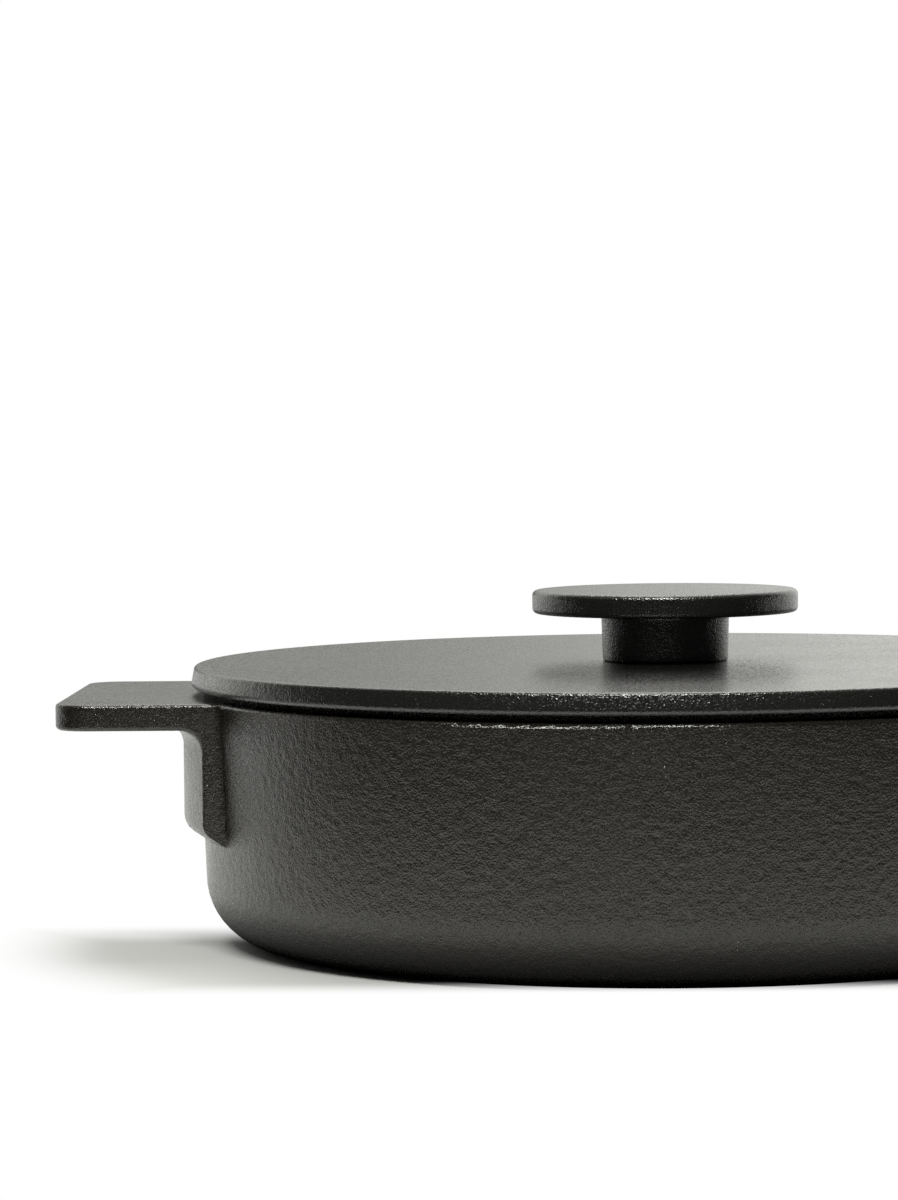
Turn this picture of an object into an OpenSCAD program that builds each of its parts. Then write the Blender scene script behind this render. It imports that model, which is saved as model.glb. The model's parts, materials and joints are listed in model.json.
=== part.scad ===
// Shallow round casserole in enamelled cast iron.
// The pot is one casting with two flat handles: each is a tab level with the rim
// and a pad that runs down the wall. A flat lid drops into the mouth, and its
// mushroom knob is held by a screw and a washer from below.
// Millimetres, +Z up, +X through the handles, origin in the middle of the foot.

/* [Pot] */
// Outside radius of the rim
rim_r = 128.3; // [118:0.1:140]
// Height of the rim above the table
pot_h = 68.4; // [62:0.1:100]
// Thickness of the side wall
wall_t = 4.4; // [3.8:0.1:6]
// Thickness of the bottom
bottom_t = 5.4; // [4.5:0.1:8]
// Lean of the side wall, outwards to the rim, in degrees
draft = 2.2; // [1:0.1:4]
// Outside radius where the wall turns into the bottom
heel_r = 19; // [15:0.5:24]
// Inside radius of the same turn
inner_heel_r = 15; // [10:0.5:20]
// Rounding of the outer edge of the rim and the upper edges of the tabs
edge_r = 1; // [0.6:0.1:1.6]
// Rounding of the inner edge of the rim
lip_r = 0.8; // [0.4:0.1:1]
// Width of the ring that the pot stands on
foot_w = 10; // [6:0.5:16]
// Depth of the hollow inside that ring
foot_rise = 0.8; // [0.4:0.1:1.5]

/* [Handles] */
// Length over both handles
handle_span = 327; // [318:1:350]
// Width of a handle
tab_w = 95; // [76:1:104]
// Thickness of the tab
tab_t = 7.1; // [5.6:0.1:8]
// Plan radius of the tab's outer corners
tab_corner_r = 9; // [5:0.5:14]
// Rounding of the tab's lower edges and the pad's upright edges
low_edge_r = 1.3; // [0.8:0.1:2]
// How far the pad stands out past the rim
pad_proud = 4; // [3:0.1:6]
// Height of the pad's lower edge above the table
pad_low_z = 33.9; // [30:0.1:42]
// Slope of the pad's lower end, from upright, in degrees
toe_angle = 55; // [35:1:60]
// Rounding between the pad's face and its sloping end
toe_r = 4; // [2:0.5:6]
// Radius under the tab, where it turns down into the pad
elbow_r = 5.8; // [4:0.1:9]
// Hollow radius between the handle's sides and the wall
side_fillet_r = 2.4; // [1.6:0.2:5]

/* [Lid] */
// Height of the lid's top above the rim
lid_rise = 7.85; // [6.6:0.05:10]
// Thickness of the lid's plate
lid_t = 5; // [4:0.1:6]
// How far the lid reaches out past the rim
lid_overhang = 1.9; // [1:0.1:3]
// Gap to be seen between the rim and the lid's edge
lid_lift = 1.95; // [0.6:0.05:2.4]
// Lean of the lid's side, inwards to the top, in degrees
lid_draft = 10.5; // [4:0.5:14]
// Rounding of the lid's top edge
lid_top_r = 0.9; // [0.6:0.1:1.6]
// Rounding of the lid's lower edge
lid_low_r = 1.5; // [0.8:0.1:1.8]
// How far the locating ring reaches down into the pot
ring_drop = 4.2; // [3:0.1:7]
// Thickness of the locating ring
ring_t = 3.2; // [2.6:0.1:5]
// Rounding of the locating ring's lower edges
ring_edge_r = 1; // [0.5:0.1:1.2]
// Play between the locating ring and the pot's wall
ring_play = 0.9; // [0.5:0.1:1.5]

/* [Knob] */
// Radius of the knob's disc
knob_r = 36.4; // [30:0.1:42]
// Thickness of the knob's disc
knob_t = 6.3; // [4.5:0.1:8]
// Rounding of the disc's edges
knob_edge_r = 1.4; // [0.8:0.1:2]
// Radius of the neck under the disc
neck_r = 17.5; // [14:0.5:20]
// Height of the neck
neck_h = 13.2; // [12:0.1:20]
// Lean of the neck, inwards to the lid, in degrees
neck_draft = 1.4; // [0.5:0.1:4]
// Hollow radius between the neck and the disc
neck_fillet_r = 1.6; // [0.8:0.1:3]
// Rounding of the neck's lower edge
neck_edge_r = 0.7; // [0.3:0.1:1.2]

/* [Screw] */
// Radius of the screw's shank
screw_r = 3; // [2.5:0.1:3.5]
// Length of shank inside the knob
screw_grip = 12; // [9:0.5:14]
// Chamfer at the tip of the shank
tip_chamfer = 0.6; // [0.3:0.1:1]
// Depth of the knob's hole past the tip
tip_room = 1.5; // [0.5:0.1:2]
// Play between the shank and the knob's hole
thread_play = 0.05; // [0.02:0.01:0.1]
// Play between the shank and the holes in the lid and the washer
hole_play = 0.3; // [0.2:0.05:0.5]
// Radius of the screw's head
head_r = 6; // [5:0.1:8]
// Height of the screw's head
head_h = 3.6; // [3:0.1:4.5]
// Outside radius of the washer
washer_r = 9; // [8.6:0.1:12]
// Thickness of the washer
washer_t = 1.2; // [0.8:0.1:2]
// Width of the cross cut in the head
cross_w = 1.3; // [0.8:0.1:1.6]
// Depth of the cross cut in the head
cross_depth = 2; // [1.2:0.1:2.2]

/* [Hidden] */
$fn = 96;

iron = "#2c2b2a";
steel = "#a9abad";

// What cuts reach past the faces that they open
over = 1;
// How deep a handle's root lies behind the rim's rounded edge
root_bite = 0.3;
// How far forms that blend sink into each other, so that no two faces only touch
sink = 0.02;

foot_r = lean_in(heel_r, heel_r);
land_r = rim_r - edge_r - root_bite;
pad_r = rim_r + pad_proud;
tab_low_z = pot_h - tab_t;
tab_end_x = handle_span / 2;
shoulder_z = pot_h - edge_r;
elbow_z = tab_low_z - elbow_r;
// Centre of the rounding that runs down the pad's upright edges
roll_y = tab_w / 2 - low_edge_r;
roll_x = sqrt(pow(pad_r - low_edge_r, 2) - pow(roll_y, 2));
// The elbow follows the curved pad, so beside it the turn is a little wider
side_elbow_r = elbow_r * (1 + pad_r / (roll_x + low_edge_r)) / 2;

lid_r = rim_r + lid_overhang;
lid_top_z = pot_h + lid_rise;
lid_under_z = lid_top_z - lid_t;
lid_low_z = pot_h + lid_lift;
ring_out_r = wall_in(pot_h) - ring_play;
ring_in_r = ring_out_r - ring_t;
ring_low_z = pot_h - ring_drop;

neck_top_z = lid_top_z + neck_h;
knob_top_z = neck_top_z + knob_t;
neck_base_r = neck_r - neck_h * tan(neck_draft);
knob_hole_depth = screw_grip + tip_room;
washer_low_z = lid_under_z - washer_t;
head_low_z = washer_low_z - head_h;

// Outside radius of the wall at a height
function wall_out(z) = rim_r - (pot_h - z) * tan(draft);

// Inside radius of the wall at a height
function wall_in(z) = wall_out(z) - wall_t / cos(draft);

// Middle of an arc of radius r at height z that touches the wall from inside the casting
function lean_in(z, r) = wall_out(z) - r / cos(draft);

// The same for an arc inside the pot that touches the wall's inner face
function hollow_in(z, r) = wall_in(z) - r / cos(draft);

// Radius of the lid's side at a height
function lid_side(z) = lid_r - (z - lid_low_z) * tan(lid_draft);

// Distance along x of a circle of radius r about the pot's axis, at distance y
function chord_x(r, y) = sqrt(r * r - y * y);

// Point just inside a circle round c, where a straight side leaves it at angle a
function touch(c, r, a) = c + (r - sink) * [cos(a), sin(a)];

// Rectangle from one corner to the other
module span2(low, high) {
    translate(low) square(high - low);
}

module disc2(c, r) {
    translate(c) circle(r);
}

// Half section of the pot as if it were solid
module pot_section() {
    heel = [foot_r, heel_r];
    rim = [lean_in(shoulder_z, edge_r), shoulder_z];
    polygon([
        [0, 0], [foot_r, 0], heel,
        touch(heel, heel_r, -draft), touch(rim, edge_r, -draft),
        rim, [rim[0], pot_h], [0, pot_h]
    ]);
    disc2(heel, heel_r);
    disc2(rim, edge_r);
}

// Half section of the space inside the pot
module cavity_section() {
    turn_z = bottom_t + inner_heel_r;
    turn = [hollow_in(turn_z, inner_heel_r), turn_z];
    lip_z = pot_h - lip_r;
    lip = [wall_in(lip_z) + lip_r / cos(draft), lip_z];
    difference() {
        union() {
            polygon([
                [0, bottom_t], [turn[0], bottom_t], turn,
                touch(turn, inner_heel_r, -draft), touch(lip, lip_r, 180 - draft),
                lip, [lip[0], pot_h + over], [0, pot_h + over]
            ]);
            disc2(turn, inner_heel_r);
        }
        disc2(lip, lip_r);
    }
}

// Half section of the hollow under the foot
module foot_section() {
    inner_r = foot_r - foot_w;
    polygon([
        [0, -over], [inner_r + over, -over], [inner_r, 0],
        [inner_r - 2 * foot_rise, foot_rise], [0, foot_rise]
    ]);
}

// Half section of the ring from which a pad is cut: upright face and sloping end
module pad_section() {
    reach = toe_r * tan(toe_angle / 2);
    knee = [pad_r - toe_r, pad_low_z + reach];
    toe = touch(knee, toe_r, -toe_angle);
    toe_x = wall_out(pad_low_z) - wall_t / 2;
    toe_z = toe[1] - (toe[0] - toe_x) / tan(toe_angle);
    polygon([
        [toe_x, toe_z], toe, knee, [pad_r, knee[1]],
        [pad_r, shoulder_z], [land_r, shoulder_z]
    ]);
    disc2(knee, toe_r);
}

// Plan of a pad, with its upright outer edges rounded
module pad_plan() {
    inner_x = chord_x(land_r, tab_w / 2) - wall_t;
    rim_dir = [roll_x, roll_y] * 2;
    intersection() {
        circle(pad_r);
        polygon([[0, 0], rim_dir, [rim_dir[0], -rim_dir[1]]]);
        span2([0, -tab_w / 2], [pad_r, tab_w / 2]);
    }
    span2([inner_x, -tab_w / 2], [roll_x, tab_w / 2]);
    for (s = [-1, 1]) disc2([roll_x, s * roll_y], low_edge_r);
}

// Pad that runs down the wall under the tab
module pad() {
    intersection() {
        rotate_extrude() pad_section();
        linear_extrude(shoulder_z) pad_plan();
    }
}

// Plan middle of the hollow between a handle's side and a wall of radius r
function nook(r) = [
    chord_x(r + side_fillet_r, tab_w / 2 + side_fillet_r),
    tab_w / 2 + side_fillet_r
];

// Plan of the corner that this hollow leaves filled, before the hollow is cut
module nook_plan(r) {
    c = nook(r);
    wall_point = c * r / (r + side_fillet_r);
    inner_r = r - wall_t / 2;
    inner_y = roll_y - sink;
    polygon([
        [c[0], inner_y], c, wall_point,
        wall_point * inner_r / r, [chord_x(inner_r, inner_y), inner_y]
    ]);
}

// Filled corner between a handle's side and the wall, which leans with the wall
module side_fillet() {
    mid_z = (pad_low_z + shoulder_z) / 2;
    mid_r = wall_out(mid_z);
    c = nook(mid_r);
    lean = atan((mid_r + side_fillet_r) / c[0] * tan(draft));
    intersection() {
        rotate_extrude() pad_section();
        translate([c[0], 0, mid_z]) rotate([0, lean, 0]) translate([-c[0], 0, -pot_h / 2])
            linear_extrude(pot_h) difference() {
                nook_plan(mid_r);
                disc2(c, side_fillet_r + sink);
            }
    }
}

// Its top edge, rounded like the rim
module side_fillet_top() {
    r = wall_out(shoulder_z);
    c = nook(r);
    core_r = side_fillet_r + edge_r + 2 * sink;
    translate([0, 0, shoulder_z - sink]) intersection() {
        linear_extrude(edge_r) nook_plan(r);
        translate([c[0], c[1], 0]) rotate_extrude() {
            intersection() {
                disc2([core_r, 0], edge_r);
                span2([0, 0], [core_r, edge_r]);
            }
            span2([core_r, 0], [core_r + 2 * edge_r, edge_r]);
        }
    }
}

// Section of the tab's edge: length l, height of the tab, outer end rounded
module tab_edge_section(l) {
    span2([0, 0], [l - low_edge_r, tab_t]);
    span2([0, low_edge_r], [l - edge_r, tab_t]);
    span2([0, low_edge_r], [l, tab_t - edge_r]);
    disc2([l - low_edge_r, low_edge_r], low_edge_r);
    disc2([l - edge_r, tab_t - edge_r], edge_r);
}

// Level tab: two rounded bars that cross, and a round of the edge at each corner
module tab() {
    corner_x = tab_end_x - tab_corner_r;
    corner_y = tab_w / 2 - tab_corner_r;
    translate([0, 0, tab_low_z]) {
        for (s = [0, 1]) mirror([0, s, 0]) {
            rotate([90, 0, 90]) linear_extrude(corner_x) tab_edge_section(tab_w / 2);
            translate([corner_x, corner_y, 0]) rotate_extrude() tab_edge_section(tab_corner_r);
        }
        translate([corner_x - over, corner_y, 0]) rotate([90, 0, 0])
            linear_extrude(2 * corner_y) tab_edge_section(tab_corner_r + over);
    }
}

// Underside of the tab turning down into the curved pad
module elbow() {
    intersection() {
        rotate_extrude() difference() {
            span2([land_r, elbow_z], [pad_r + elbow_r, tab_low_z + low_edge_r]);
            disc2([pad_r + elbow_r, elbow_z], elbow_r + sink);
        }
        translate([0, -roll_y, 0]) cube([pad_r + elbow_r, 2 * roll_y, pot_h]);
    }
}

// The rounded edge beside that turn
module elbow_side() {
    core = tab_t - low_edge_r - edge_r;
    mid_r = side_elbow_r + low_edge_r;
    axis = [roll_x + mid_r, roll_y, tab_low_z - side_elbow_r];
    translate(axis + sink * [-1, -1, 1])
        rotate([-90, 180, 0]) rotate_extrude(angle = 90) intersection() {
            union() {
                disc2([mid_r, 0], low_edge_r);
                span2([mid_r, 0], [mid_r + core, low_edge_r]);
            }
            span2([0, 0], [mid_r + core, low_edge_r]);
        }
}

// One handle, on the +X side
module handle() {
    difference() {
        union() {
            tab();
            elbow();
            for (s = [0, 1]) mirror([0, s, 0]) {
                elbow_side();
                side_fillet_top();
            }
        }
        translate([0, 0, tab_low_z - 2 * elbow_r]) cylinder(r = land_r, h = pot_h);
    }
    pad();
    for (s = [0, 1]) mirror([0, s, 0]) side_fillet();
}

module pot_body() {
    color(iron) {
        rotate_extrude() difference() {
            pot_section();
            cavity_section();
            foot_section();
        }
        for (s = [0, 1]) mirror([s, 0, 0]) handle();
    }
}

// Half section of the lid: plate, rounded side, seat on the rim and locating ring
module lid_section() {
    low = [lid_side(lid_low_z + lid_low_r) - lid_low_r / cos(lid_draft), lid_low_z + lid_low_r];
    top = [lid_side(lid_top_z - lid_top_r) - lid_top_r / cos(lid_draft), lid_top_z - lid_top_r];
    seat_r = rim_r - edge_r;
    polygon([
        [0, lid_under_z], [ring_in_r, lid_under_z], [ring_out_r, pot_h],
        [seat_r - lid_lift / 2, pot_h], [seat_r, lid_low_z], [low[0], lid_low_z],
        low, touch(low, lid_low_r, lid_draft), touch(top, lid_top_r, lid_draft),
        top, [top[0], lid_top_z], [0, lid_top_z]
    ]);
    disc2(low, lid_low_r);
    disc2(top, lid_top_r);
    span2([ring_in_r, ring_low_z + ring_edge_r], [ring_out_r, lid_under_z + over]);
    span2([ring_in_r + ring_edge_r, ring_low_z], [ring_out_r - ring_edge_r, pot_h]);
    for (x = [ring_in_r + ring_edge_r, ring_out_r - ring_edge_r])
        disc2([x, ring_low_z + ring_edge_r], ring_edge_r);
}

module lid() {
    color(iron) difference() {
        rotate_extrude() lid_section();
        translate([0, 0, ring_low_z]) cylinder(r = screw_r + hole_play, h = lid_top_z);
    }
}

// Half section of the knob: disc on a neck that narrows a little to the lid
module knob_section() {
    disc_x = knob_r - knob_edge_r;
    span2([0, neck_top_z], [disc_x, knob_top_z]);
    span2([0, neck_top_z + knob_edge_r], [knob_r, knob_top_z - knob_edge_r]);
    for (z = [neck_top_z + knob_edge_r, knob_top_z - knob_edge_r]) disc2([disc_x, z], knob_edge_r);
    base = [neck_base_r - neck_edge_r, lid_top_z + neck_edge_r];
    polygon([
        [0, lid_top_z], [base[0], lid_top_z], base,
        touch(base, neck_edge_r, -neck_draft), [neck_r, neck_top_z], [0, neck_top_z]
    ]);
    disc2(base, neck_edge_r);
    difference() {
        span2([0, neck_top_z - neck_fillet_r], [neck_r + neck_fillet_r, neck_top_z]);
        disc2([neck_r + neck_fillet_r, neck_top_z - neck_fillet_r], neck_fillet_r);
    }
}

module knob() {
    color(iron) difference() {
        rotate_extrude() knob_section();
        translate([0, 0, lid_top_z - over])
            cylinder(r = screw_r + thread_play, h = knob_hole_depth + over);
    }
}

// Half section of the screw: plain shank over a low domed head
module screw_section() {
    dome_r = (head_r * head_r + head_h * head_h) / (2 * head_h);
    tip_z = lid_top_z + screw_grip;
    polygon([
        [0, washer_low_z - over], [screw_r, washer_low_z - over],
        [screw_r, tip_z - tip_chamfer], [screw_r - tip_chamfer, tip_z], [0, tip_z]
    ]);
    intersection() {
        disc2([0, head_low_z + dome_r], dome_r);
        span2([0, head_low_z], [head_r, washer_low_z]);
    }
}

module knob_screw() {
    color(steel) difference() {
        rotate_extrude() screw_section();
        for (turn = [0, 90]) rotate([0, 0, turn])
            translate([-head_r / 2, -cross_w / 2, head_low_z - over])
                cube([head_r, cross_w, cross_depth + over]);
    }
}

module knob_washer() {
    color(steel) translate([0, 0, washer_low_z]) difference() {
        cylinder(r = washer_r, h = washer_t);
        translate([0, 0, -over]) cylinder(r = screw_r + hole_play, h = washer_t + 2 * over);
    }
}

pot_body();
lid();
knob();
knob_screw();
knob_washer();
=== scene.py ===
"""Looks of a shallow cast iron casserole with a flat lid and a mushroom knob.

Lengths are in metres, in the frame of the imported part: z up from the table,
x through the handles, and the axis of the pot through the origin.
"""

import json
import logging
import math
from dataclasses import dataclass, field, replace
from enum import Enum
from typing import Any, Union

import bmesh
import bpy
from mathutils import Matrix, Vector

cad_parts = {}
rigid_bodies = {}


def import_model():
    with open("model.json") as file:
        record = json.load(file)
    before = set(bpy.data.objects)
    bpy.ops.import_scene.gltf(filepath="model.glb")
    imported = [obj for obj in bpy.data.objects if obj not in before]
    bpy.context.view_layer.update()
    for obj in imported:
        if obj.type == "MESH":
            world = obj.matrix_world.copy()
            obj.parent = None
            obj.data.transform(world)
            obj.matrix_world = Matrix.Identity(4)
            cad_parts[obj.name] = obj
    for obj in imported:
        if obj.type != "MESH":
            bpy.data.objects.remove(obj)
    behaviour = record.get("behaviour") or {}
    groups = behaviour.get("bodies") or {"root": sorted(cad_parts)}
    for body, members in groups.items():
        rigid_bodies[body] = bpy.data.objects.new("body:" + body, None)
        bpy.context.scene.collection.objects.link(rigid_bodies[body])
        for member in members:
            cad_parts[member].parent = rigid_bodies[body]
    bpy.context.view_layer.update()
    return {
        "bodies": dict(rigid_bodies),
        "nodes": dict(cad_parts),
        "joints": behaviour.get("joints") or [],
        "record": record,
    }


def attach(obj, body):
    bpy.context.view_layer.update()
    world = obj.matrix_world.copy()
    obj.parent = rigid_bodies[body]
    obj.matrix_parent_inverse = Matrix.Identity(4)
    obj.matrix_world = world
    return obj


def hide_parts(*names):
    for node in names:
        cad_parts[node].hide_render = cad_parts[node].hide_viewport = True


MM = 0.001
LID_TOP = 76.25 * MM
LOG = logging.getLogger("casserole")

Socket = bpy.types.NodeSocket
Value = Union[float, tuple[float, ...], Socket]
Point = tuple[float, float]
Band = tuple[float, float]
Triple = tuple[float, float, float]

# Colour of the painted shade on the table, which only the pot's rays see.
PAINTED_SHADE_BLACK = (0.0, 0.0, 0.0, 1.0)

# Nearly all values of a noise lie in this range.
NOISE_RANGE: Band = (0.3, 0.7)


class Kind(Enum):
    """Kinds of socket on a node group."""

    FLOAT = "NodeSocketFloat"
    VECTOR = "NodeSocketVector"
    INT = "NodeSocketInt"
    GEOMETRY = "NodeSocketGeometry"
    MATERIAL = "NodeSocketMaterial"


class Tree:
    """A node tree while it is drawn: adds nodes, sets their inputs and joins them."""

    def __init__(self, tree: bpy.types.NodeTree) -> None:
        """Starts on an empty tree.

        Args:
            tree: The tree to draw in.
        """
        self.tree = tree
        tree.nodes.clear()

    def add(self, kind: str, **settings: Any) -> bpy.types.Node:
        """Adds one node.

        Args:
            kind: The node's type name.
            settings: Properties of the node.

        Returns:
            The new node.
        """
        node = self.tree.nodes.new(kind)
        for name, value in settings.items():
            setattr(node, name, value)
        return node

    def put(self, socket: Socket, value: Value) -> None:
        """Joins a socket to another, or sets its own value.

        Args:
            socket: The input that is set.
            value: The output that feeds it, or a plain value.
        """
        if isinstance(value, bpy.types.NodeSocket):
            self.tree.links.new(value, socket)
        else:
            socket.default_value = value

    def math(self, operation: str, a: Value, b: Value = 0.0, c: Value = 0.0) -> Socket:
        """Adds a Math node.

        Args:
            operation: What it works out.
            a: First value.
            b: Second value.
            c: Third value.

        Returns:
            Its result.
        """
        node = self.add("ShaderNodeMath", operation=operation)
        for socket, value in zip(node.inputs, (a, b, c)):
            self.put(socket, value)
        return node.outputs[0]

    def vector(self, operation: str, a: Value, b: Value = (0.0, 0.0, 0.0)) -> Socket:
        """Adds a Vector Math node.

        Args:
            operation: What it works out.
            a: First vector.
            b: Second vector.

        Returns:
            The vector that it gives, or the number where a length or a product was asked.
        """
        node = self.add("ShaderNodeVectorMath", operation=operation)
        self.put(node.inputs[0], a)
        self.put(node.inputs[1], b)
        return node.outputs["Value" if operation in ("LENGTH", "DOT_PRODUCT") else "Vector"]

    def scaled(self, vector: Value, by: Value) -> Socket:
        """Adds a Vector Math node that multiplies by a number.

        Args:
            vector: The vector.
            by: The number.

        Returns:
            The new vector.
        """
        node = self.add("ShaderNodeVectorMath", operation="SCALE")
        self.put(node.inputs[0], vector)
        self.put(node.inputs["Scale"], by)
        return node.outputs[0]

    def split(self, vector: Value) -> tuple[Socket, Socket, Socket]:
        """Adds a Separate XYZ node.

        Args:
            vector: The vector.

        Returns:
            Its x, its y and its z.
        """
        node = self.add("ShaderNodeSeparateXYZ")
        self.put(node.inputs[0], vector)
        return tuple(node.outputs)

    def noise(self, at: Value, size: Value, detail: float, rough: float = 0.5) -> Socket:
        """Adds a Noise Texture.

        Args:
            at: Where it is read.
            size: Size of its features.
            detail: How many finer layers it has.
            rough: How strong the finer layers are.

        Returns:
            Its value, about 0.5 on average.
        """
        node = self.add("ShaderNodeTexNoise", noise_dimensions="3D")
        self.put(node.inputs["Vector"], at)
        self.put(node.inputs["Scale"], self.math("DIVIDE", 1.0, size))
        node.inputs["Detail"].default_value = detail
        node.inputs["Roughness"].default_value = rough
        return node.outputs[0]

    def fade(
        self,
        value: Value,
        low: Value,
        high: Value,
        start: Value = 0.0,
        end: Value = 1.0,
    ) -> Socket:
        """Adds a Map Range node that makes a smooth step.

        Args:
            value: What the step is measured on.
            low: Where the step starts.
            high: Where it ends. It may be lower than the start.
            start: Result before the step.
            end: Result after it.

        Returns:
            The result.
        """
        node = self.add("ShaderNodeMapRange", interpolation_type="SMOOTHSTEP")
        names = ("Value", "From Min", "From Max", "To Min", "To Max")
        for name, given in zip(names, (value, low, high, start, end)):
            self.put(node.inputs[name], given)
        return node.outputs[0]

    def tint(self, factor: Value, a: Value, b: Value) -> Socket:
        """Adds a colour Mix node.

        Args:
            factor: How much of b shows.
            a: First colour.
            b: Second colour.

        Returns:
            The mixed colour.
        """
        node = self.add("ShaderNodeMix", data_type="RGBA")
        for name, given in (("Factor", factor), ("A", a), ("B", b)):
            socket = next(s for s in node.inputs if s.name == name and s.enabled)
            self.put(socket, given)
        return next(s for s in node.outputs if s.enabled)

    def bump(self, height: Value, distance: float = 1.0) -> Socket:
        """Adds a Bump node.

        Args:
            height: How high the surface stands.
            distance: How many metres a height of one is.

        Returns:
            The bumped normal.
        """
        node = self.add("ShaderNodeBump")
        node.inputs["Distance"].default_value = distance
        node.inputs["Strength"].default_value = 1.0
        self.put(node.inputs["Height"], height)
        return node.outputs[0]

    def group(self, made: bpy.types.NodeTree, values: dict[str, Value]) -> bpy.types.Node:
        """Places a node group with its own values.

        Args:
            made: The group.
            values: What each of its inputs gets.

        Returns:
            The group's node.
        """
        node = self.add("ShaderNodeGroup", node_tree=made)
        for name, value in values.items():
            self.put(node.inputs[name], value)
        return node


@dataclass
class GroupBuilder:
    """A shader node group with named sockets."""

    name: str
    inputs: dict[str, tuple[Kind, Any]]
    outputs: dict[str, Kind]
    tree: Tree = field(init=False)
    source: bpy.types.Node = field(init=False)
    target: bpy.types.Node = field(init=False)

    def __post_init__(self) -> None:
        """Makes the group and its sockets."""
        group = bpy.data.node_groups.new(self.name, "ShaderNodeTree")
        self.tree = Tree(group)
        for name, (kind, value) in self.inputs.items():
            socket = group.interface.new_socket(name=name, in_out="INPUT", socket_type=kind.value)
            if value is not None:
                socket.default_value = value
        for name, kind in self.outputs.items():
            group.interface.new_socket(name=name, in_out="OUTPUT", socket_type=kind.value)
        self.source = self.tree.add("NodeGroupInput")
        self.target = self.tree.add("NodeGroupOutput")

    def get(self, name: str) -> Socket:
        """The inner end of an input."""
        return self.source.outputs[name]

    def give(self, name: str, value: Value) -> None:
        """Sends a value to an output."""
        self.tree.put(self.target.inputs[name], value)


def cast_skin_group() -> bpy.types.NodeTree:
    """Builds the skin of enamelled sand castings: orange peel, fine pebbles and pin pits.

    Returns:
        The group. Height is in metres, and Speckle is 1 on top of the pebbles.
    """
    cells_per_pebble = 0.22
    pit_rim = 0.1
    pit_bottom = 0.02
    g = GroupBuilder(
        "cast_skin",
        {
            "Vector": (Kind.VECTOR, None),
            "Peel Size": (Kind.FLOAT, 3 * MM),
            "Peel Depth": (Kind.FLOAT, 0.1 * MM),
            "Pebble Size": (Kind.FLOAT, 0.9 * MM),
            "Pebble Depth": (Kind.FLOAT, 0.03 * MM),
        },
        {"Height": Kind.FLOAT, "Speckle": Kind.FLOAT},
    )
    t = g.tree
    peel = t.noise(g.get("Vector"), g.get("Peel Size"), detail=2.0, rough=0.55)
    pebble = t.noise(g.get("Vector"), g.get("Pebble Size"), detail=1.0, rough=0.6)
    cells = t.add("ShaderNodeTexVoronoi", feature="F1", voronoi_dimensions="3D")
    t.put(cells.inputs["Vector"], g.get("Vector"))
    t.put(cells.inputs["Scale"], t.math("DIVIDE", cells_per_pebble, g.get("Pebble Size")))
    pits = t.fade(cells.outputs["Distance"], pit_rim, pit_bottom)
    height = t.math(
        "ADD",
        t.math("MULTIPLY", t.math("SUBTRACT", peel, 0.5), g.get("Peel Depth")),
        t.math("MULTIPLY", t.math("SUBTRACT", pebble, 0.5), g.get("Pebble Depth")),
    )
    pitted = t.math("SUBTRACT", height, t.math("MULTIPLY", pits, g.get("Pebble Depth")))
    g.give("Height", pitted)
    g.give("Speckle", t.fade(pebble, *NOISE_RANGE))
    return t.tree


def rub_group() -> bpy.types.NodeTree:
    """Builds the mask of enamel that use has rubbed, where a measure goes past a limit.

    Returns:
        The group. Mask is 1 where the enamel is rubbed.
    """
    g = GroupBuilder(
        "rub",
        {
            "Vector": (Kind.VECTOR, None),
            "Measure": (Kind.FLOAT, 0.0),
            "Limit": (Kind.FLOAT, 1.0),
            "Breadth": (Kind.FLOAT, 0.1),
            "Patch Size": (Kind.FLOAT, 10 * MM),
        },
        {"Mask": Kind.FLOAT},
    )
    t = g.tree
    patches = t.noise(g.get("Vector"), g.get("Patch Size"), detail=4.0, rough=0.6)
    centred = t.math("SUBTRACT", patches, 0.5)
    ragged = t.math("MULTIPLY_ADD", centred, g.get("Breadth"), g.get("Measure"))
    full = t.math("ADD", g.get("Limit"), g.get("Breadth"))
    g.give("Mask", t.fade(ragged, g.get("Limit"), full))
    return t.tree


@dataclass
class Groups:
    """The shader groups that several finishes use."""

    skin: bpy.types.NodeTree = field(default_factory=cast_skin_group)
    rub: bpy.types.NodeTree = field(default_factory=rub_group)


def principled(name: str) -> tuple[bpy.types.Material, Tree, bpy.types.Node]:
    """Starts a material that has one Principled surface.

    Args:
        name: The material's name.

    Returns:
        The material, its tree and the surface's node.
    """
    made = bpy.data.materials.new(name)
    made.use_nodes = True
    t = Tree(made.node_tree)
    out = t.add("ShaderNodeOutputMaterial")
    body = t.add("ShaderNodeBsdfPrincipled")
    t.put(out.inputs["Surface"], body.outputs[0])
    return made, t, body


@dataclass(frozen=True)
class RubbedZone:
    """Enamel that is rubbed by what the piece stands on, up to a height.

    The mask runs from full to nothing over the breadth below that height.
    """

    height: float
    breadth: float
    patch: float = 6 * MM
    colour: Triple = (0.085, 0.08, 0.075)
    smoother: float = 0.08

    def mask(self, t: Tree, place: Socket, groups: Groups) -> Socket:
        """Draws the mask of the zone.

        Args:
            t: The material's tree.
            place: Object coordinates.
            groups: The shared shader groups.

        Returns:
            The mask, 1 where the enamel is rubbed.
        """
        depth = t.math("MULTIPLY", t.split(place)[2], -1.0)
        values = {
            "Vector": place,
            "Measure": depth,
            "Limit": -self.height,
            "Breadth": self.breadth,
            "Patch Size": self.patch,
        }
        return t.group(groups.rub, values).outputs["Mask"]


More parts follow.
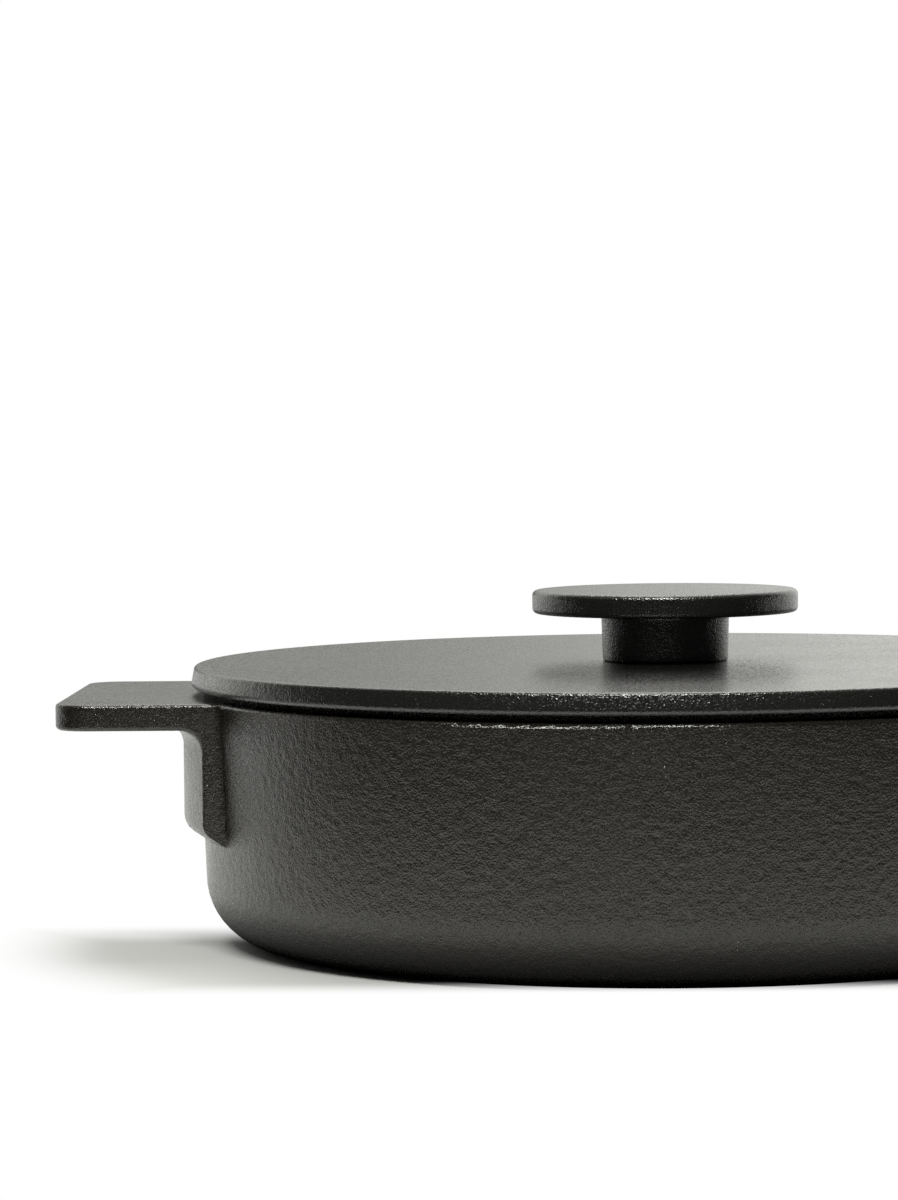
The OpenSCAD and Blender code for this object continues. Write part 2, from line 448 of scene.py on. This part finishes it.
@dataclass(frozen=True)
class MattEnamel:
    """Black matt enamel on a sand casting.

    Speckles of the pale colour lie on the dark one, and a slow swell darkens them and
    changes the roughness. From the height ground_from up, the casting was ground before
    it was enamelled: there the orange peel keeps only a share of its depth, and the
    enamel is smoother. The default height lies above every piece.
    """

    name: str
    colour: Triple
    pale: Triple
    roughness: float
    peel_size: float
    peel_depth: float
    pebble_size: float
    pebble_depth: float
    grain: float = 0.06
    swell_size: float = 30 * MM
    swell_band: Band = (0.35, 0.7)
    swell_dark: float = 0.35
    swell_rough: float = 0.025
    ground_from: float = 1.0
    ground_step: float = 4 * MM
    ground_share: float = 0.25
    ground_smoother: float = 0.04
    ior: float = 1.75
    rubbed: RubbedZone | None = None

    def material(self, groups: Groups) -> bpy.types.Material:
        """Builds the finish.

        Args:
            groups: The shared shader groups.

        Returns:
            The new material.
        """
        made, t, body = principled(self.name)
        place = t.add("ShaderNodeTexCoord").outputs["Object"]
        ground_end = self.ground_from + self.ground_step
        peel = t.fade(t.split(place)[2], self.ground_from, ground_end, 1.0, self.ground_share)
        values = {
            "Vector": place,
            "Peel Size": self.peel_size,
            "Peel Depth": t.math("MULTIPLY", peel, self.peel_depth),
            "Pebble Size": self.pebble_size,
            "Pebble Depth": self.pebble_depth,
        }
        skin = t.group(groups.skin, values).outputs
        swell = t.noise(place, self.swell_size, detail=3.0, rough=0.55)
        darker = t.fade(swell, *self.swell_band, 0.0, self.swell_dark)
        colour = t.tint(skin["Speckle"], (*self.colour, 1), (*self.pale, 1))
        colour = t.tint(darker, colour, (*self.colour, 1))
        rough = self.rough(t, skin["Speckle"], swell, peel)
        if self.rubbed is not None:
            mask = self.rubbed.mask(t, place, groups)
            colour = t.tint(mask, colour, (*self.rubbed.colour, 1))
            rough = t.math("ADD", rough, t.math("MULTIPLY", mask, -self.rubbed.smoother))
        t.put(body.inputs["Base Color"], colour)
        t.put(body.inputs["Roughness"], rough)
        body.inputs["IOR"].default_value = self.ior
        t.put(body.inputs["Normal"], t.bump(skin["Height"]))
        return made

    def rough(self, t: Tree, speckle: Socket, swell: Socket, peel: Socket) -> Socket:
        """Draws the roughness: speckles are smoother, and so is the ground part.

        Args:
            t: The material's tree.
            speckle: Mask of the speckles.
            swell: The slow swell, about 0.5 on average.
            peel: Share of the orange peel that is left.

        Returns:
            The roughness.
        """
        rough = t.math(
            "ADD",
            t.fade(speckle, 0.0, 1.0, self.roughness + self.grain, self.roughness - self.grain),
            t.fade(swell, *NOISE_RANGE, -self.swell_rough, self.swell_rough),
        )
        smoother = t.math("MULTIPLY_ADD", peel, self.ground_smoother, -self.ground_smoother)
        return t.math("ADD", rough, smoother)


@dataclass(frozen=True)
class TurnedSteel:
    """Stainless steel with the fine rings that turning or stamping leaves."""

    name: str
    colour: Triple
    roughness: float
    ring_size: float
    ring_depth: float = 0.02 * MM
    smudge_size: float = 2.5 * MM
    smudge_dark: float = 0.8
    smoother: float = 0.06
    rougher: float = 0.08

    def material(self) -> bpy.types.Material:
        """Builds the finish.

        Returns:
            The new material.
        """
        made, t, body = principled(self.name)
        place = t.add("ShaderNodeTexCoord").outputs["Object"]
        radius = t.vector("LENGTH", t.vector("MULTIPLY", place, (1.0, 1.0, 0.0)))
        rings = t.noise(t.scaled((1.0, 0.0, 0.0), radius), self.ring_size, detail=2.0)
        smudge = t.noise(place, self.smudge_size, detail=3.0)
        dark = tuple(part * self.smudge_dark for part in self.colour)
        smooth = self.roughness - self.smoother
        dull = self.roughness + self.rougher
        t.put(body.inputs["Base Color"], t.tint(smudge, (*self.colour, 1), (*dark, 1)))
        t.put(body.inputs["Roughness"], t.fade(smudge, *NOISE_RANGE, smooth, dull))
        body.inputs["Metallic"].default_value = 1.0
        t.put(body.inputs["Normal"], t.bump(rings, self.ring_depth))
        return made


def arc(centre: Point, radius: float, start: float, end: float, steps: int) -> list[Point]:
    """Points of an arc, its ends included.

    Args:
        centre: Its middle.
        radius: Its radius.
        start: Angle of the first point, in degrees.
        end: Angle of the last point.
        steps: How many spans it has.

    Returns:
        The points in order.
    """
    angles = [math.radians(start + (end - start) * i / steps) for i in range(steps + 1)]
    return [(centre[0] + radius * math.cos(a), centre[1] + radius * math.sin(a)) for a in angles]


def spaced(points: list[Point], longest: float) -> list[Point]:
    """The same line with its long spans divided.

    Args:
        points: The line.
        longest: The longest span that stays whole.

    Returns:
        The new line.
    """
    made = [points[0]]
    for a, b in zip(points, points[1:]):
        parts = max(1, math.ceil(math.dist(a, b) / longest))
        for k in range(1, parts + 1):
            made.append((a[0] + (b[0] - a[0]) * k / parts, a[1] + (b[1] - a[1]) * k / parts))
    return made


@dataclass(frozen=True)
class CastSurface:
    """How finely a turned casting is divided, and how its surface wanders."""

    segments: int
    uneven: float
    seed: float
    uneven_size: float = 35 * MM


class TurnedCasting:
    """Geometry Nodes tree that turns a half profile about the z axis."""

    inputs = {
        "Profile": Kind.GEOMETRY,
        "Rings": Kind.INT,
        "Segments": Kind.INT,
        "Unevenness": Kind.FLOAT,
        "Unevenness Size": Kind.FLOAT,
        "Seed": Kind.FLOAT,
        "Finish": Kind.MATERIAL,
    }
    weld = 0.004 * MM

    def __init__(self) -> None:
        """Builds the tree, which every turned casting uses."""
        self.tree = bpy.data.node_groups.new("turned_casting", "GeometryNodeTree")
        face = self.tree.interface
        self.sockets: dict[str, str] = {}
        for name, kind in self.inputs.items():
            socket = face.new_socket(name=name, in_out="INPUT", socket_type=kind.value)
            self.sockets[name] = socket.identifier
        face.new_socket(name="Casting", in_out="OUTPUT", socket_type=Kind.GEOMETRY.value)
        t = Tree(self.tree)
        given = t.add("NodeGroupInput")
        turned = self.turned_grid(t, given)
        cast = self.uneven(t, given, turned)
        t.put(t.add("NodeGroupOutput").inputs[0], self.finished(t, given, cast))

    def turned_grid(self, t: Tree, given: bpy.types.Node) -> Socket:
        """Lays a grid with a row for each point of the profile, and turns it round the axis.

        Args:
            t: The tree.
            given: The node that holds the tree's inputs.

        Returns:
            The turned mesh, with its seam still open.
        """
        grid = t.add("GeometryNodeMeshGrid")
        around = t.math("ADD", given.outputs["Segments"], 1.0)
        t.put(grid.inputs["Vertices X"], given.outputs["Rings"])
        t.put(grid.inputs["Vertices Y"], around)
        index = t.add("GeometryNodeInputIndex").outputs[0]
        ring = t.math("FLOOR", t.math("DIVIDE", t.math("ADD", index, 0.5), around))
        step = t.math("SUBTRACT", index, t.math("MULTIPLY", ring, around))
        angle = t.math("DIVIDE", t.math("MULTIPLY", step, math.tau), given.outputs["Segments"])
        sample = t.add("GeometryNodeSampleIndex", data_type="FLOAT_VECTOR", domain="POINT")
        t.put(sample.inputs["Geometry"], given.outputs["Profile"])
        sampled = next(s for s in sample.inputs if s.name == "Value" and s.enabled)
        t.put(sampled, t.add("GeometryNodeInputPosition").outputs[0])
        t.put(sample.inputs["Index"], ring)
        radius, _, height = t.split(next(s for s in sample.outputs if s.enabled))
        join = t.add("ShaderNodeCombineXYZ")
        t.put(join.inputs[0], t.math("MULTIPLY", radius, t.math("COSINE", angle)))
        t.put(join.inputs[1], t.math("MULTIPLY", radius, t.math("SINE", angle)))
        t.put(join.inputs[2], height)
        place = t.add("GeometryNodeSetPosition")
        t.put(place.inputs["Geometry"], grid.outputs["Mesh"])
        t.put(place.inputs["Position"], join.outputs[0])
        return place.outputs[0]

    def uneven(self, t: Tree, given: bpy.types.Node, mesh: Socket) -> Socket:
        """Lets the surface wander as a sand casting's does.

        Args:
            t: The tree.
            given: The node that holds the tree's inputs.
            mesh: The true surface.

        Returns:
            The uneven one.
        """
        wave = t.add("ShaderNodeTexNoise", noise_dimensions="4D")
        t.put(wave.inputs["Vector"], t.add("GeometryNodeInputPosition").outputs[0])
        t.put(wave.inputs["W"], given.outputs["Seed"])
        t.put(wave.inputs["Scale"], t.math("DIVIDE", 1.0, given.outputs["Unevenness Size"]))
        wave.inputs["Detail"].default_value = 2.0
        centred = t.vector("SUBTRACT", wave.outputs["Color"], (0.5, 0.5, 0.5))
        shift = t.add("GeometryNodeSetPosition")
        t.put(shift.inputs["Geometry"], mesh)
        t.put(shift.inputs["Offset"], t.scaled(centred, given.outputs["Unevenness"]))
        return shift.outputs[0]

    def finished(self, t: Tree, given: bpy.types.Node, mesh: Socket) -> Socket:
        """Closes the seam and the ends, smooths the shading and sets the finish.

        Args:
            t: The tree.
            given: The node that holds the tree's inputs.
            mesh: The open surface.

        Returns:
            The whole casting.
        """
        merge = t.add("GeometryNodeMergeByDistance")
        t.put(merge.inputs["Geometry"], mesh)
        t.put(merge.inputs["Distance"], self.weld)
        smooth = t.add("GeometryNodeSetShadeSmooth")
        t.put(smooth.inputs["Geometry"], merge.outputs[0])
        whole = t.add("GeometryNodeRealizeInstances")
        t.put(whole.inputs["Geometry"], smooth.outputs[0])
        finish = t.add("GeometryNodeSetMaterial")
        t.put(finish.inputs["Geometry"], whole.outputs[0])
        t.put(finish.inputs["Material"], given.outputs["Finish"])
        return finish.outputs[0]

    def turn(
        self, name: str, profile: list[Point], surface: CastSurface, finish: bpy.types.Material
    ) -> bpy.types.Object:
        """Makes one casting as a plain mesh.

        Args:
            name: The piece's name.
            profile: Half profile from the axis round to the axis, radius and height.
            surface: How it is divided, and how it wanders.
            finish: Its material.

        Returns:
            The new piece, at the origin, with its place in its mesh.
        """
        line = bpy.data.meshes.new(name + "_profile")
        spans = [(i, i + 1) for i in range(len(profile) - 1)]
        line.from_pydata([(r, 0.0, z) for r, z in profile], spans, [])
        holder = bpy.data.objects.new(name + "_profile", line)
        bpy.context.scene.collection.objects.link(holder)
        modifier = holder.modifiers.new("turned", "NODES")
        modifier.node_group = self.tree
        for socket, value in (
            ("Rings", len(profile)),
            ("Segments", surface.segments),
            ("Unevenness", surface.uneven),
            ("Unevenness Size", surface.uneven_size),
            ("Seed", surface.seed),
            ("Finish", finish),
        ):
            modifier[self.sockets[socket]] = value
        bpy.context.view_layer.update()
        evaluated = holder.evaluated_get(bpy.context.evaluated_depsgraph_get())
        mesh = bpy.data.meshes.new_from_object(evaluated)
        mesh.name = name
        # The grid brings an empty slot, so the finish is made the only one.
        mesh.materials.clear()
        mesh.materials.append(finish)
        bpy.data.objects.remove(holder)
        bm = bmesh.new()
        bm.from_mesh(mesh)
        bmesh.ops.recalc_face_normals(bm, faces=bm.faces)
        bm.to_mesh(mesh)
        bm.free()
        piece = bpy.data.objects.new(name, mesh)
        bpy.context.scene.collection.objects.link(piece)
        return piece


@dataclass
class Pot:
    """The pot: one casting with its two handles."""

    finish: MattEnamel

    def dress(self, frame: dict[str, Any], groups: Groups) -> bpy.types.Object:
        """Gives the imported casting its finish.

        Args:
            frame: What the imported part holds.
            groups: The shared shader groups.

        Returns:
            The dressed piece.
        """
        node = frame["nodes"]["pot_body"]
        node.data.materials.clear()
        node.data.materials.append(self.finish.material(groups))
        return node


@dataclass
class Lid:
    """The lid: a flat plate with a rounded side, a seat and a locating ring."""

    finish: MattEnamel
    radius: float = 130.18 * MM
    top: float = LID_TOP
    low: float = 70.35 * MM
    under: float = 71.25 * MM
    seat: float = 68.4 * MM
    seat_in: float = 126.325 * MM
    seat_out: float = 127.3 * MM
    draft: float = 10.5
    top_round: float = 0.9 * MM
    low_round: float = 1.5 * MM
    edge_steps: int = 8
    ring_out: float = 123.0 * MM
    ring_thick: float = 3.2 * MM
    ring_low: float = 64.2 * MM
    ring_round: float = 1.0 * MM
    ring_steps: int = 5
    hole: float = 3.3 * MM
    spacing: float = 2.6 * MM
    surface: CastSurface = CastSurface(segments=384, uneven=0.04 * MM, seed=3.0)

    def side(self, z: float) -> float:
        """Radius of the leaning side at a height."""
        return self.radius - (z - self.low) * math.tan(math.radians(self.draft))

    def profile(self) -> list[Point]:
        """Half profile, from the screw's hole on top round to the hole below.

        Returns:
            The closed line, radius and height.
        """
        lean = math.cos(math.radians(self.draft))
        top_z = self.top - self.top_round
        low_z = self.low + self.low_round
        top = (self.side(top_z) - self.top_round / lean, top_z)
        low = (self.side(low_z) - self.low_round / lean, low_z)
        ring_in = self.ring_out - self.ring_thick
        r = self.ring_round
        line = [(self.hole, self.top)]
        line += arc(top, self.top_round, 90, self.draft, self.edge_steps)
        line += arc(low, self.low_round, self.draft, -90, self.edge_steps)
        line += [(self.seat_out, self.low), (self.seat_in, self.seat), (self.ring_out, self.seat)]
        line += arc((self.ring_out - r, self.ring_low + r), r, 0, -90, self.ring_steps)
        line += arc((ring_in + r, self.ring_low + r), r, -90, -180, self.ring_steps)
        line += [(ring_in, self.under), (self.hole, self.under), (self.hole, self.top)]
        return spaced(line, self.spacing)

    def build(self, maker: TurnedCasting, groups: Groups) -> bpy.types.Object:
        """Builds, dresses and seats the lid.

        Args:
            maker: The tree that turns profiles.
            groups: The shared shader groups.

        Returns:
            The finished piece.
        """
        enamel = self.finish.material(groups)
        piece = maker.turn("lid_casting", self.profile(), self.surface, enamel)
        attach(piece, "root")
        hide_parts("lid")
        return piece


@dataclass
class Knob:
    """The knob: a flat disc on a neck that narrows a little to the lid."""

    finish: MattEnamel
    radius: float = 36.4 * MM
    lid_top: float = LID_TOP
    neck_top: float = 89.45 * MM
    top: float = 95.73 * MM
    edge_round: float = 1.4 * MM
    edge_steps: int = 7
    neck: float = 17.5 * MM
    neck_draft: float = 1.4
    neck_fillet: float = 1.6 * MM
    fillet_steps: int = 6
    foot_round: float = 0.7 * MM
    foot_steps: int = 4
    hole: float = 3.05 * MM
    hole_depth: float = 13.5 * MM
    spacing: float = 1.6 * MM
    surface: CastSurface = CastSurface(segments=256, uneven=0.03 * MM, seed=7.0)

    def profile(self) -> list[Point]:
        """Half profile, from the middle of the top round to the end of the hole.

        Returns:
            The line, radius and height.
        """
        e = self.edge_round
        base = self.neck - (self.neck_top - self.lid_top) * math.tan(math.radians(self.neck_draft))
        foot = (base - self.foot_round, self.lid_top + self.foot_round)
        fillet = (self.neck + self.neck_fillet, self.neck_top - self.neck_fillet)
        line = [(0.0, self.top)]
        line += arc((self.radius - e, self.top - e), e, 90, 0, self.edge_steps)
        line += arc((self.radius - e, self.neck_top + e), e, 0, -90, self.edge_steps)
        line += arc(fillet, self.neck_fillet, 90, 180, self.fillet_steps)
        line += arc(foot, self.foot_round, 0, -90, self.foot_steps)
        line += [(self.hole, self.lid_top), (self.hole, self.lid_top + self.hole_depth)]
        line += [(0.0, self.lid_top + self.hole_depth)]
        return spaced(line, self.spacing)

    def build(self, maker: TurnedCasting, groups: Groups) -> bpy.types.Object:
        """Builds, dresses and seats the knob.

        Args:
            maker: The tree that turns profiles.
            groups: The shared shader groups.

        Returns:
            The finished piece.
        """
        enamel = self.finish.material(groups)
        piece = maker.turn("knob_casting", self.profile(), self.surface, enamel)
        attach(piece, "root")
        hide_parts("knob")
        return piece


@dataclass
class Fastening:
    """The screw and the washer that hold the knob from inside the lid."""

    screw: TurnedSteel
    washer: TurnedSteel

    def dress(self, frame: dict[str, Any]) -> list[bpy.types.Object]:
        """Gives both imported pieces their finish.

        Args:
            frame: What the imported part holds.

        Returns:
            The dressed pieces.
        """
        dressed = []
        for name, slot, finish in (
            ("knob_screw", "screw_steel", self.screw),
            ("knob_washer", "washer_steel", self.washer),
        ):
            node = frame["nodes"][name]
            node.data.materials.clear()
            node.data.materials.append(finish.material())
            dressed.append(node)
        return dressed


@dataclass(frozen=True)
class WhiteTable:
    """Finish of the table: a pale cloth round the foot, with painted shade, and white elsewhere.

    Each band runs from where its step starts to where it ends, along x, along y, or
    along the distance from the pot's axis. A grey is how much light the cloth returns;
    the camera gets a darker grey than the pot's rays, painted shade and painted light.
    """

    name: str = "white_table"
    half: float = 4.0
    front: float = 0.48
    # Two copies of one cloth: a darker painted shade for the camera, painted light for the pot.
    camera_grey_painted_shade: float = 0.68
    pot_grey_painted_light: float = 0.88
    away: Band = (0.35, 0.9)
    # Far in front the cloth is painted black for the pot's rays: painted shade.
    painted_shade_round: Band = (0.38, 0.15)
    behind: Band = (-0.04, 0.16)
    # Under the foot the cloth is painted black for the pot's rays: painted shade where it stands.
    painted_contact_shade: Band = (0.108, 0.16)
    # A dark screen painted into the table's reflection only: painted reflection.
    screen_right: Band = (0.1, -0.05)
    screen_left: Band = (-0.6, -0.4)
    painted_screen_depth: Band = (0.2, 0.5)
    screen_share: float = 0.85
    # Bands past which a painted white covers the pot's shadow for the camera: painted light.
    painted_light_front: Band = (-0.092, -0.118)
    painted_light_back: Band = (-0.01, 0.035)
    painted_light_round: Band = (0.15, 0.19)

    def lay(self) -> None:
        """Lays the table."""
        half = self.half
        front = -self.front
        corners = [(-half, front, 0), (half, front, 0), (half, half, 0), (-half, half, 0)]
        mesh = bpy.data.meshes.new("table_top")
        mesh.from_pydata(corners, [], [(0, 1, 2, 3)])
        mesh.materials.append(self.material())
        table = bpy.data.objects.new("table_top", mesh)
        bpy.context.scene.collection.objects.link(table)

    def material(self) -> bpy.types.Material:
        """Builds the finish.

        The camera sees the cloth, with the pot's shadow, only in a band round the foot,
        and white past it, where painted white light covers the shadow. To the pot the cloth
        is painted black under the foot and far in front, painted shade, and the enamel
        shows a painted white reflection from far behind, but for a painted dark screen.

        Returns:
            The new material.
        """
        made = bpy.data.materials.new(self.name)
        made.use_nodes = True
        t = Tree(made.node_tree)
        place = t.add("ShaderNodeTexCoord").outputs["Object"]
        x, y, _ = t.split(place)
        radius = t.vector("LENGTH", place)
        rays = t.add("ShaderNodeLightPath").outputs
        # 1 round the pot and behind it; 0 far in front, where the pot's rays see painted shade.
        far_shade_unpainted = t.math("MAXIMUM", t.fade(radius, *self.painted_shade_round), t.fade(y, *self.behind))
        # 1 where no painted shade lies on the cloth, neither under the foot nor far in front.
        shade_unpainted = t.math("MULTIPLY", far_shade_unpainted, t.fade(radius, *self.painted_contact_shade))
        # The camera's darker grey is painted shade; the pot's rays get the paler grey, painted
        # light.
        greys = [(grey, grey, grey, 1) for grey in (self.pot_grey_painted_light, self.camera_grey_painted_shade)]
        grey = t.tint(rays["Is Camera Ray"], *greys)
        cloth = t.add("ShaderNodeBsdfDiffuse")
        # The pot's rays see the painted black shade; the camera always sees the grey.
        shown = t.math("MAXIMUM", shade_unpainted, rays["Is Camera Ray"])
        t.put(cloth.inputs["Color"], t.tint(shown, PAINTED_SHADE_BLACK, grey))
        # Glowing white: the even white table far off, painted light over the shadow, painted
        # reflection.
        white = t.add("ShaderNodeEmission")
        white.inputs["Strength"].default_value = 1.0
        # Glossy rays see the table glow white: a painted reflection, dimmed by the painted screen.
        painted_reflection = t.math("MULTIPLY", far_shade_unpainted, t.math("SUBTRACT", 1.0, self.screen(t, x, y)))
        painted_reflection = t.math("MULTIPLY", rays["Is Glossy Ray"], painted_reflection)
        seen = t.math("MAXIMUM", rays["Is Camera Ray"], painted_reflection)
        distant = t.math("MULTIPLY", t.fade(radius, *self.away), seen)
        # For the camera, painted white light over the pot's shadow outside the band by the foot.
        painted_light_mask = self.painted_light_mask(t, y, radius)
        painted_light_mask = t.math("MULTIPLY", painted_light_mask, rays["Is Camera Ray"])
        mix = t.add("ShaderNodeMixShader")
        t.put(mix.inputs[0], t.math("MAXIMUM", distant, painted_light_mask))
        t.put(mix.inputs[1], cloth.outputs[0])
        t.put(mix.inputs[2], white.outputs[0])
        t.put(t.add("ShaderNodeOutputMaterial").inputs["Surface"], mix.outputs[0])
        return made

    def screen(self, t: Tree, x: Socket, y: Socket) -> Socket:
        """Mask of a dark screen behind the pot's left half, which only the enamel mirrors:
        a painted reflection.

        Args:
            t: The material's tree.
            x: Place along the handles.
            y: Place towards the back.

        Returns:
            The mask.
        """
        width = t.math("MULTIPLY", t.fade(x, *self.screen_right), t.fade(x, *self.screen_left))
        depth = t.fade(y, *self.painted_screen_depth, 0.0, self.screen_share)
        return t.math("MULTIPLY", width, depth)

    def painted_light_mask(self, t: Tree, y: Socket, radius: Socket) -> Socket:
        """Mask of painted white light over the pot's shadow, for the camera: in front, behind and
        round about.

        Args:
            t: The material's tree.
            y: Place towards the back.
            radius: Distance from the pot's axis.

        Returns:
            The mask.
        """
        ends = t.math("MAXIMUM", t.fade(y, *self.painted_light_front), t.fade(y, *self.painted_light_back))
        return t.math("MAXIMUM", ends, t.fade(radius, *self.painted_light_round))


@dataclass(frozen=True)
class Backdrop:
    """Light of the room: a bright wall behind the pot, a dark room in front of it.

    Bands are measured on the direction that the light comes from, whose length is one.
    Low on the left, a dark screen stands before the wall.
    """

    wall: Band = (0.32, 0.68)
    wall_light: float = 1.25
    room_light: float = 0.04
    screen_height: Band = (0.3, 0.12)
    screen_right: Band = (0.12, -0.07)
    screen_left: Band = (-0.5, -0.3)
    screen_share: float = 0.85
    ceiling: Band = (0.5, 0.8)
    ceiling_light: float = 0.3

    def build(self, colour: Triple, back: Vector) -> None:
        """Builds the world, which is plain white to the camera.

        Args:
            colour: Colour of the light.
            back: Direction from the pot to the wall's middle.
        """
        world = bpy.data.worlds.new("studio")
        bpy.context.scene.world = world
        world.use_nodes = True
        t = Tree(world.node_tree)
        light = t.add("ShaderNodeBackground")
        light.inputs["Color"].default_value = (*colour, 1)
        t.put(light.inputs["Strength"], self.strength(t, back))
        seen = t.add("ShaderNodeBackground")
        seen.inputs["Color"].default_value = (1, 1, 1, 1)
        seen.inputs["Strength"].default_value = 1.0
        mix = t.add("ShaderNodeMixShader")
        t.put(mix.inputs[0], t.add("ShaderNodeLightPath").outputs["Is Camera Ray"])
        t.put(mix.inputs[1], light.outputs[0])
        t.put(mix.inputs[2], seen.outputs[0])
        t.put(t.add("ShaderNodeOutputWorld").inputs["Surface"], mix.outputs[0])

    def strength(self, t: Tree, back: Vector) -> Socket:
        """Draws how strong the light is in each direction.

        Args:
            t: The world's tree.
            back: Direction from the pot to the wall's middle.

        Returns:
            The strength.
        """
        way = t.add("ShaderNodeTexCoord").outputs["Generated"]
        x, _, z = t.split(way)
        behind = t.vector("DOT_PRODUCT", way, tuple(back))
        wall = t.fade(behind, *self.wall, self.room_light, self.wall_light)
        width = t.fade(x, *self.screen_right, 0.0, self.screen_share)
        screen = t.math("MULTIPLY", t.fade(z, *self.screen_height), width)
        screen = t.math("MULTIPLY", screen, t.fade(x, *self.screen_left))
        wall = t.math("MULTIPLY", wall, t.math("SUBTRACT", 1.0, screen))
        return t.math("ADD", wall, t.fade(z, *self.ceiling, 0.0, self.ceiling_light))


@dataclass(frozen=True)
class Softbox:
    """A soft lamp: where it hangs, what it points at, its size, and its power in watts."""

    name: str
    at: Triple
    aim: Triple
    width: float
    depth: float
    power: float


CEILING_SOFTBOX = Softbox(
    name="ceiling_softbox",
    at=(0.0, 0.38, 1.1),
    aim=(0.0, 0.0, 0.05),
    width=0.6,
    depth=1.0,
    power=6.3,
)
FRONT_SOFTBOX = Softbox(
    name="front_softbox",
    at=(-0.2, -0.95, 0.98),
    aim=(0.0, 0.0, 0.07),
    width=0.75,
    depth=0.14,
    power=14.5,
)


@dataclass
class Studio:
    """White table and backdrop, soft lamps from above, and the camera.

    The camera, the lamps and the backdrop are turned about the pot's axis together.
    """

    camera_at: Triple = (-0.0592155, -1.3, 0.1581)
    pitch: float = 0.0498
    roll: float = -0.0101
    lens: float = 142.43
    turn: float = 1.99
    warmth: Triple = (1.0, 1.0, 0.95)
    lamps: tuple[Softbox, ...] = (CEILING_SOFTBOX, FRONT_SOFTBOX)

    def build(self) -> None:
        """Builds table, world, lamps and camera."""
        WhiteTable().lay()
        back = self.turned(Matrix.Identity(4)) @ Vector((0.0, 1.0, 0.0))
        Backdrop().build(self.warmth, back)
        for box in self.lamps:
            self.hang(box)
        self.build_camera()

    def turned(self, place: Matrix) -> Matrix:
        """A place round the pot as the camera sees it, turned with the camera."""
        return Matrix.Rotation(math.radians(self.turn), 4, "Z") @ place

    def hang(self, box: Softbox) -> None:
        """Hangs one soft lamp.

        Args:
            box: The lamp.
        """
        data = bpy.data.lights.new(box.name, "AREA")
        data.shape = "RECTANGLE"
        data.size = box.width
        data.size_y = box.depth
        data.energy = box.power
        data.color = self.warmth
        lamp = bpy.data.objects.new(box.name, data)
        bpy.context.scene.collection.objects.link(lamp)
        aimed = (Vector(box.aim) - Vector(box.at)).to_track_quat("-Z", "Y").to_matrix().to_4x4()
        lamp.matrix_world = self.turned(Matrix.Translation(box.at) @ aimed)

    def build_camera(self) -> None:
        """Stands the camera at the height and angle of the photograph."""
        data = bpy.data.cameras.new("camera")
        data.sensor_fit = "AUTO"
        data.sensor_width = 36.0
        data.lens = self.lens
        camera = bpy.data.objects.new("camera", data)
        bpy.context.scene.collection.objects.link(camera)
        down = Matrix.Rotation(math.pi / 2 - self.pitch, 4, "X")
        tilt = down @ Matrix.Rotation(self.roll, 4, "Z")
        camera.matrix_world = self.turned(Matrix.Translation(self.camera_at) @ tilt)
        bpy.context.scene.camera = camera


POT_ENAMEL = MattEnamel(
    name="pot_matt_enamel",
    colour=(0.0062, 0.0052, 0.0038),
    pale=(0.0155, 0.0135, 0.01),
    roughness=0.25,
    peel_size=2.5 * MM,
    peel_depth=0.33 * MM,
    pebble_size=0.5 * MM,
    pebble_depth=0.2 * MM,
    ground_from=63.5 * MM,
    rubbed=RubbedZone(height=0.4 * MM, breadth=0.3 * MM),
)
LID_ENAMEL = MattEnamel(
    name="lid_matt_enamel",
    colour=(0.0055, 0.0055, 0.005),
    pale=(0.0145, 0.0145, 0.0135),
    roughness=0.2,
    peel_size=2.0 * MM,
    peel_depth=0.12 * MM,
    pebble_size=0.5 * MM,
    pebble_depth=0.12 * MM,
    grain=0.12,
)
KNOB_ENAMEL = replace(
    LID_ENAMEL,
    name="knob_matt_enamel",
    colour=(0.0046, 0.0046, 0.0042),
    pale=(0.0125, 0.0125, 0.0117),
)
SCREW_STEEL = TurnedSteel(
    name="screw_turned_steel",
    colour=(0.6, 0.6, 0.61),
    roughness=0.28,
    ring_size=0.12 * MM,
)
WASHER_STEEL = TurnedSteel(
    name="washer_stamped_steel",
    colour=(0.58, 0.58, 0.59),
    roughness=0.34,
    ring_size=0.3 * MM,
)


def report(piece: bpy.types.Object) -> None:
    """Logs a finished piece, with its faces and its finish."""
    mesh = piece.data
    LOG.info("%s: %d faces, %s", piece.name, len(mesh.polygons), mesh.materials[0].name)


def main() -> None:
    """Builds the pot's looks, piece by piece, in the studio."""
    logging.basicConfig(level=logging.INFO, format="%(name)s: %(message)s")
    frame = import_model()
    bpy.context.scene.view_settings.view_transform = "Standard"
    groups = Groups()
    maker = TurnedCasting()
    Studio().build()
    report(Pot(POT_ENAMEL).dress(frame, groups))
    report(Lid(LID_ENAMEL).build(maker, groups))
    report(Knob(KNOB_ENAMEL).build(maker, groups))
    for piece in Fastening(SCREW_STEEL, WASHER_STEEL).dress(frame):
        report(piece)


if __name__ == "__main__":
    main()
